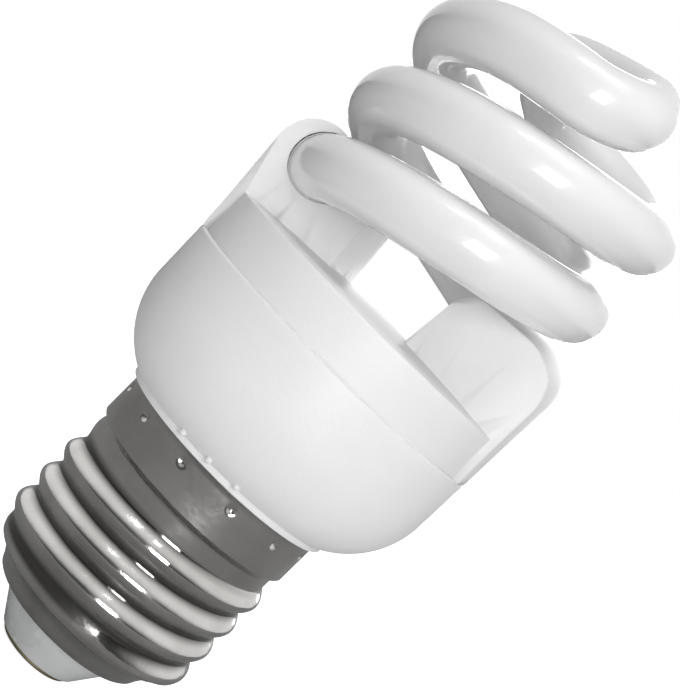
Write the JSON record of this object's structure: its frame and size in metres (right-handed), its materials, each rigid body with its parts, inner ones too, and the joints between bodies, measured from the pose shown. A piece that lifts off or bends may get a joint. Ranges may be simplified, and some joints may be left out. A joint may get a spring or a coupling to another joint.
{
  "type": "compact fluorescent lamp",
  "caption": "Compact fluorescent lamp: white double-spiral glass tube held by two moulded towers on a round ballast housing, with a knuckle-thread screw cap.",
  "frame": {"origin": "tip of the centre contact, on the lamp's axis", "axes": "+Z along the lamp's axis from the screw cap to the spiral; -Y is square to the front of the two towers"},
  "size_m": [0.039, 0.0382, 0.0879],
  "materials": {
    "nickel_plate": "rolled sheet, bright nickel plate",
    "cap_ceramic": "pale grey-white, slightly glossy",
    "brass": "satin",
    "solder": "satin tinned",
    "white_housing": "matte white moulding",
    "phosphor_glass": "glossy glass, white phosphor coat inside, opaque",
    "cement": "matte",
    "board": "paper laminate",
    "ferrite": "matte dark grey",
    "bobbin_plastic": "matte",
    "copper_wire": "enamelled",
    "capacitor_sleeve": "shrink sleeve",
    "film_resin": "dipped resin",
    "black_resin": "moulded resin",
    "resistor_lacquer": "lacquer",
    "wire_sleeve": "insulated wire"
  },
  "bodies": {
    "root": {"screw_shell": "nickel_plate", "cap_insulator": "cap_ceramic", "centre_contact": "brass", "contact_solder": "solder", "lower_housing": "white_housing", "upper_housing": "white_housing", "spiral_tube": "phosphor_glass", "tube_cement": "cement", "circuit_board": "board", "choke_core": "ferrite", "choke_bobbin": "bobbin_plastic", "choke_winding": "copper_wire", "barrel_capacitor": "capacitor_sleeve", "film_capacitors": "film_resin", "drive_ring": "ferrite", "drive_windings": "copper_wire", "transistors": "black_resin", "rectifier_diodes": "black_resin", "resistors": "resistor_lacquer", "trigger_diode": "resistor_lacquer", "rod_inductor": "ferrite", "fusible_resistor": "resistor_lacquer", "live_wire": "wire_sleeve", "neutral_wire": "wire_sleeve", "wrap_posts": "brass", "filament_leads": "solder"}
  },
  "joints": []
}
